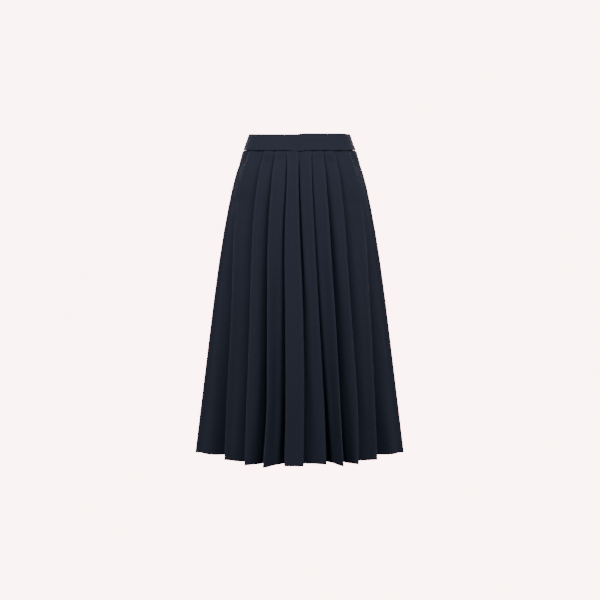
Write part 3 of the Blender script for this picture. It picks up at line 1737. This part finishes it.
@dataclass(frozen=True)
class NavyCrepe:
    """A close navy suiting with a pebbled crepe face and a soft dull sheen.

    Cells are a noise's cells in a metre. The shares say how much of the bump each part of the weave makes.
    """

    name: str = "navy_crepe"
    deep: Colour = (0.0133, 0.0161, 0.0295)
    light: Colour = (0.0170, 0.0204, 0.0362)
    pressed: Colour = (0.0170, 0.0204, 0.0362)
    thread: float = 0.00055
    wander_cells: float = 160.0
    pebble_cells: float = 1150.0
    slub_cells: float = 420.0
    cloud_cells: float = 9.0
    wear_cells: float = 60.0
    weave_share: float = 0.18
    pebble_share: float = 0.9
    slub_share: float = 0.35
    cloud_share: float = 0.55
    wander: float = 1.4
    wear: float = 0.9
    least_wear: float = 0.25
    roughness: float = 0.80
    fold_polish: float = 0.10
    pebble_roughness: float = 0.16
    bump: float = 0.30
    relief: float = 0.00025
    sheen: float = 0.05
    sheen_tint: Colour = (0.45, 0.60, 1.0)

    def make(self) -> bpy.types.Material:
        """Build the material from the cloth's own UV map, which is in metres.

        Returns:
            The material.
        """
        graph = Graph(self.name)
        where = graph.node("ShaderNodeUVMap", {"uv_map": "cloth"}, {}).outputs["UV"]
        parts = graph.node("ShaderNodeSeparateXYZ", {}, {0: where})
        across = Value(graph, parts.outputs[0])
        down = Value(graph, parts.outputs[1])
        fold = graph.value("ShaderNodeAttribute", {"attribute_name": "fold"}, {}, "Fac")
        turns = math.tau / self.thread
        wander = graph.noise(where, self.wander_cells) * self.wander
        warp = (across * turns + wander).sine()
        weft = (down * turns + wander).sine()
        pebble = graph.noise(where, self.pebble_cells, 3.0, 0.6)
        slub = graph.noise(where, self.slub_cells)
        weave = warp * weft * self.weave_share + pebble * self.pebble_share + slub * self.slub_share
        cloud = graph.noise(where, self.cloud_cells, 3.0, 0.55)
        mottle = (cloud * self.cloud_share + pebble * (1.0 - self.cloud_share)).clamped()
        ground = graph.mixed(mottle, self.deep, self.light)
        worn = (fold * (graph.noise(where, self.wear_cells) * self.wear + self.least_wear)).clamped()
        graph.set(Base_Color=graph.mixed(worn, ground, self.pressed))
        polish = self.roughness - fold * self.fold_polish
        graph.set(Roughness=(polish + (pebble - 0.5) * self.pebble_roughness).clamped())
        graph.set(Normal=graph.bump(weave, self.bump, self.relief))
        graph.set(Sheen_Weight=self.sheen, Sheen_Roughness=0.45, Sheen_Tint=(*self.sheen_tint, 1.0))
        graph.set(IOR=1.45, Specular_IOR_Level=0.16)
        return graph.material


@dataclass(frozen=True)
class NavyHorn:
    """A dark resin button with faint horn streaks and a satin polish."""

    name: str = "navy_horn"
    deep: Colour = (0.0060, 0.0080, 0.0135)
    light: Colour = (0.0190, 0.0230, 0.0340)
    streak_shape: Point = (1.0, 0.35, 0.22)
    streak_cells: float = 900.0
    cloud_cells: float = 160.0
    scuff_cells: float = 2600.0
    streak_share: float = 1.6
    streak_start: float = 0.45
    cloud_share: float = 0.5
    roughness: float = 0.27
    scuff_roughness: float = 0.16
    bump: float = 0.08
    relief: float = 0.00005

    def make(self) -> bpy.types.Material:
        """Build the material from object coordinates.

        Returns:
            The material.
        """
        graph = Graph(self.name)
        where = graph.node("ShaderNodeTexCoord", {}, {}).outputs["Object"]
        long_way = graph.node("ShaderNodeMapping", {}, {"Vector": where, "Scale": self.streak_shape})
        streak = graph.noise(long_way.outputs[0], self.streak_cells, 4.0, 0.6)
        cloud = graph.noise(where, self.cloud_cells)
        clouded = (cloud - 0.5) * self.cloud_share
        share = (streak * self.streak_share - self.streak_start + clouded).clamped()
        graph.set(Base_Color=graph.mixed(share, self.deep, self.light))
        scuff = graph.noise(where, self.scuff_cells)
        graph.set(Roughness=(self.roughness + scuff * self.scuff_roughness).clamped())
        graph.set(Normal=graph.bump(scuff, self.bump, self.relief))
        graph.set(Specular_IOR_Level=0.5, Coat_Weight=0.15, Coat_Roughness=0.25)
        return graph.material


@dataclass(frozen=True)
class SewingThread:
    """Spun navy thread, a shade lighter than the cloth."""

    name: str = "navy_thread"
    deep: Colour = (0.0150, 0.0190, 0.0310)
    light: Colour = (0.0300, 0.0370, 0.0560)
    twist_cells: float = 5200.0
    bump: float = 0.3
    relief: float = 0.00006

    def make(self) -> bpy.types.Material:
        """Build the material from object coordinates.

        Returns:
            The material.
        """
        graph = Graph(self.name)
        where = graph.node("ShaderNodeTexCoord", {}, {}).outputs["Object"]
        twist = graph.noise(where, self.twist_cells)
        graph.set(Base_Color=graph.mixed(twist, self.deep, self.light))
        graph.set(Normal=graph.bump(twist, self.bump, self.relief))
        graph.set(Roughness=0.6, Sheen_Weight=0.3, Sheen_Roughness=0.4, Specular_IOR_Level=0.35)
        return graph.material


@dataclass(frozen=True)
class Softbox:
    """One square soft light, which can also hang mirrored on the other side."""

    name: str
    place: Point
    aim: Point
    size: float
    watts: float
    tint: Colour = (1.0, 0.98, 0.96)

    def hang(self, ending: str = "", way: float = 1.0) -> None:
        """Hang the light.

        Args:
            ending: what its name ends in.
            way: 1 for its own side, or -1 for the other.
        """
        data = bpy.data.lights.new(self.name + ending, "AREA")
        data.shape = "RECTANGLE"
        data.size = data.size_y = self.size
        data.energy = self.watts
        data.color = self.tint
        across, along, up = self.place
        look(put(data.name, data), (way * across, along, up), self.aim)


@dataclass
class Studio:
    """The pale room, its soft lights and the camera at the photograph's place."""

    eye: Point = (0.0009, -3.6, 0.0)
    aim: Point = (0.0009, 0.0, -0.377)
    lens: float = 90.5
    sensor: float = 36.0
    reach: float = 100.0
    floor_z: float = -1.04
    floor_half: float = 30.0
    pale: Colour = (1.0, 0.67, 0.67)
    pale_strength: float = 10.3
    ambient_colour: Colour = (0.92, 0.95, 1.0)
    ambient: float = 0.05
    grain_cells: float = 3.0
    grain_share: float = 0.98
    floor_colour: Colour = (0.02, 0.02, 0.02)
    pairs: tuple[Softbox, ...] = (
        Softbox("key", (1.6, -2.05, 1.25), (0.0, 0.0, 0.15), 1.2, 70.5),
        Softbox("back", (1.35, 2.4, 0.9), (0.0, 0.0, -0.3), 1.4, 42.0),
        Softbox("side", (2.2, 0.3, -0.2), (0.0, 0.0, -0.6), 1.2, 15.0),
    )
    top: Softbox = Softbox("top", (0.0, -0.3, 2.4), (0.0, 0.0, 0.0), 2.0, 7.0)

    def camera(self) -> None:
        """Set the camera at the photograph's place."""
        data = bpy.data.cameras.new("camera")
        data.lens = self.lens
        data.sensor_width = self.sensor
        data.clip_end = self.reach
        camera = put("camera", data)
        look(camera, self.eye, self.aim)
        bpy.context.scene.camera = camera

    def lights(self) -> None:
        """Hang the soft lights."""
        for ending, way in (("_left", -1.0), ("_right", 1.0)):
            for softbox in self.pairs:
                softbox.hang(ending, way)
        self.top.hang()

    def room(self) -> None:
        """Lay the pale floor and set the pale surroundings, which light the cloth only a little."""
        graph = Graph("pale_floor")
        where = graph.node("ShaderNodeTexCoord", {}, {}).outputs["Object"]
        grain = graph.noise(where, self.grain_cells)
        faint = tuple(self.grain_share * part for part in self.pale)
        graph.set(Emission_Color=graph.mixed(grain, self.pale, faint), Emission_Strength=self.pale_strength)
        graph.set(Base_Color=(*self.floor_colour, 1.0), Roughness=1.0, Specular_IOR_Level=0.0)
        mesh = bmesh.new()
        bmesh.ops.create_grid(mesh, x_segments=2, y_segments=2, size=self.floor_half)
        bmesh.ops.translate(mesh, verts=mesh.verts, vec=(0.0, 0.0, self.floor_z))
        floor = put_mesh("studio_floor", mesh, graph.material)
        floor.visible_diffuse = False
        floor.visible_glossy = False
        world = bpy.data.worlds.new("studio")
        world.use_nodes = True
        sky = Tree(world.node_tree)
        background = sky.tree.nodes["Background"]
        seen = sky.node("ShaderNodeBackground", {}, {})
        for node, colour, strength in ((background, self.ambient_colour, self.ambient),
                                       (seen, self.pale, self.pale_strength)):
            sky.feed(node.inputs["Color"], (*colour, 1.0))
            sky.feed(node.inputs["Strength"], strength)
        ray = sky.node("ShaderNodeLightPath", {}, {}).outputs["Is Camera Ray"]
        choice = sky.node("ShaderNodeMixShader", {}, {0: ray, 1: background.outputs[0], 2: seen.outputs[0]})
        sky.feed(sky.tree.nodes["World Output"].inputs["Surface"], choice.outputs[0])
        bpy.context.scene.world = world


PANEL_CUTS = (
    PanelCut(Panel.FRONT, 1.268, 0.762, 0.762),
    PanelCut(Panel.BACK_OVER, 0.653, 0.762, 0.386),
    PanelCut(Panel.BACK_UNDER, 0.756, 0.762, 0.463),
)


def report(piece: bpy.types.Object) -> None:
    """Log a piece's name and size."""
    LOG.info("%s has %d faces", piece.name, len(piece.data.polygons))


def main() -> None:
    """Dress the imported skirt, and set its room, light and camera."""
    logging.basicConfig(level=logging.INFO, format="%(name)s: %(message)s")
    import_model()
    crepe = NavyCrepe().make()
    cloth = PleatedCloth()
    for cut in PANEL_CUTS:
        panel = PleatedPanel(cloth, cut)
        piece = panel.build()
        panel.dress(piece, crepe)
        report(piece)
    band = Waistband()
    strip = band.build()
    band.dress(strip, crepe)
    report(strip)
    turned = WaistButton()
    button = turned.build(band)
    turned.dress(button, NavyHorn().make())
    report(button)
    for piece in SkirtSewing(cloth, band).build(turned, SewingThread().make()):
        report(piece)
    studio = Studio()
    studio.camera()
    studio.lights()
    studio.room()


if __name__ == "__main__":
    main()
